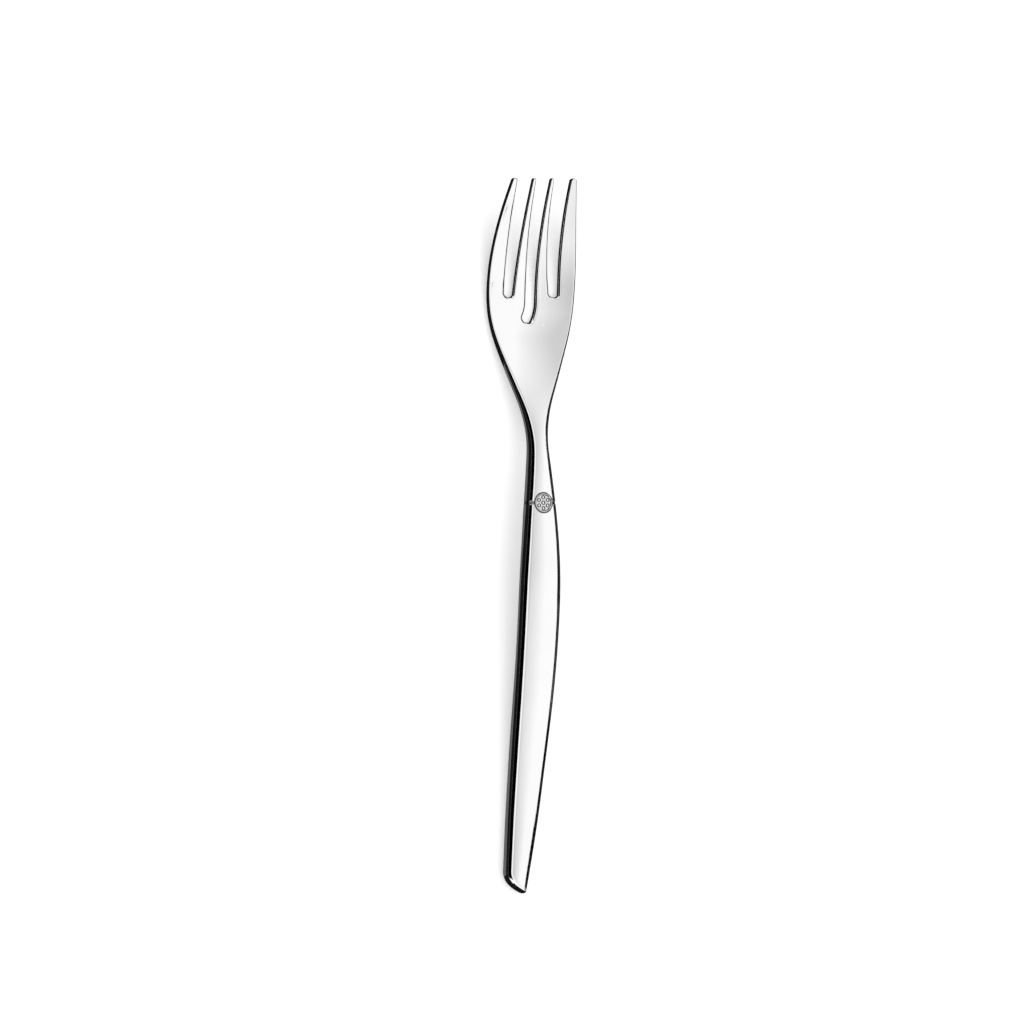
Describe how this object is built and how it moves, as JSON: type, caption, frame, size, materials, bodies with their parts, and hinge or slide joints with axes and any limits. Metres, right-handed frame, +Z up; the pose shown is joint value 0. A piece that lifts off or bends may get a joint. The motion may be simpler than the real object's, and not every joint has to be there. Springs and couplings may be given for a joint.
{
  "type": "pastry fork",
  "caption": "Polished steel pastry fork with wide outer tines, slim inner tines, a hooked middle slot, an arched handle with an oblique end and a round emblem at the neck.",
  "frame": {"origin": "on the table under the middle of the fork", "axes": "+Y from the handle towards the tips of the tines, +X to the right, +Z up from the table"},
  "size_m": [0.0202, 0.15, 0.0089],
  "materials": {
    "head_steel": "mirror-polished stainless steel",
    "handle_steel": "mirror-polished stainless steel",
    "pin_steel": "drawn stainless steel",
    "medallion_steel": "coined and polished stainless steel"
  },
  "bodies": {
    "root": {"fork_head": "head_steel", "handle": "handle_steel", "locking_pin": "pin_steel", "medallion": "medallion_steel"}
  },
  "joints": []
}
